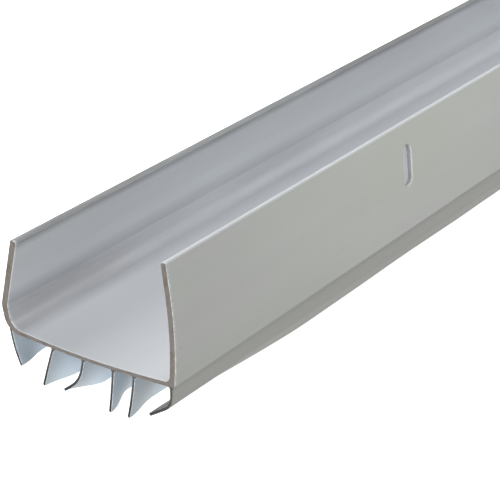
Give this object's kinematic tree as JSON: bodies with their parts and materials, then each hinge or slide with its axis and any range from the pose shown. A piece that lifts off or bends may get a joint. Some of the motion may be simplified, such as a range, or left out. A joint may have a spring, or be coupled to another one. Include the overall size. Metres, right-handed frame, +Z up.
{
  "type": "slip-on door sweep",
  "caption": "U-shaped plastic channel that slips over the bottom of a door, with flexible fins under it that seal against the threshold and screw slots in its outer leg.",
  "frame": {"origin": "centre of the web's upper face, the door seat, at the middle of the length", "axes": "+Z up into the door, +Y along the length, +X towards the taller slotted leg on the door's outer face"},
  "size_m": [0.0493, 0.914, 0.0407],
  "materials": {
    "rigid_web": "satin moulded",
    "rigid_legs": "satin moulded",
    "soft_fins": "smooth soft vinyl"
  },
  "bodies": {
    "base": {"web": "rigid_web"},
    "front_leg": {"front_leg": "rigid_legs"},
    "rear_leg": {"rear_leg": "rigid_legs"},
    "rear_drip_fin": {"rear_drip_fin": "soft_fins"},
    "rear_seal_fin": {"rear_seal_fin": "soft_fins"},
    "rear_middle_fin": {"rear_middle_fin": "soft_fins"},
    "front_middle_fin": {"front_middle_fin": "soft_fins"},
    "front_seal_fin": {"front_seal_fin": "soft_fins"},
    "front_drip_fin": {"front_drip_fin": "soft_fins"}
  },
  "joints": [
    {"name": "front_leg_flex", "type": "hinge", "parent": "base", "child": "front_leg", "pos_m": [0.02315, 0, -0.00045], "axis": [0, 1, 0], "range_deg": [0, 12], "stiffness_Nm_per_rad": 1.5},
    {"name": "rear_leg_flex", "type": "hinge", "parent": "base", "child": "rear_leg", "pos_m": [-0.02315, 0, -0.00045], "axis": [0, -1, 0], "range_deg": [0, 12], "stiffness_Nm_per_rad": 1.5},
    {"name": "rear_drip_fin_flex", "type": "hinge", "parent": "base", "child": "rear_drip_fin", "pos_m": [-0.0229, 0, -0.00178], "axis": [0, 1, 0], "range_deg": [-30, 20], "stiffness_Nm_per_rad": 0.05},
    {"name": "rear_seal_fin_flex", "type": "hinge", "parent": "base", "child": "rear_seal_fin", "pos_m": [-0.01042, 0, -0.00175], "axis": [0, 1, 0], "range_deg": [-25, 25], "stiffness_Nm_per_rad": 0.05},
    {"name": "rear_middle_fin_flex", "type": "hinge", "parent": "base", "child": "rear_middle_fin", "pos_m": [-0.00168, 0, -0.00175], "axis": [0, 1, 0], "range_deg": [-25, 18], "stiffness_Nm_per_rad": 0.05},
    {"name": "front_middle_fin_flex", "type": "hinge", "parent": "base", "child": "front_middle_fin", "pos_m": [0.00683, 0, -0.00175], "axis": [0, 1, 0], "range_deg": [-18, 30], "stiffness_Nm_per_rad": 0.05},
    {"name": "front_seal_fin_flex", "type": "hinge", "parent": "base", "child": "front_seal_fin", "pos_m": [0.01266, 0, -0.00175], "axis": [0, 1, 0], "range_deg": [-20, 20], "stiffness_Nm_per_rad": 0.05},
    {"name": "front_drip_fin_flex", "type": "hinge", "parent": "base", "child": "front_drip_fin", "pos_m": [0.0229, 0, -0.00178], "axis": [0, 1, 0], "range_deg": [-30, 20], "stiffness_Nm_per_rad": 0.05}
  ]
}
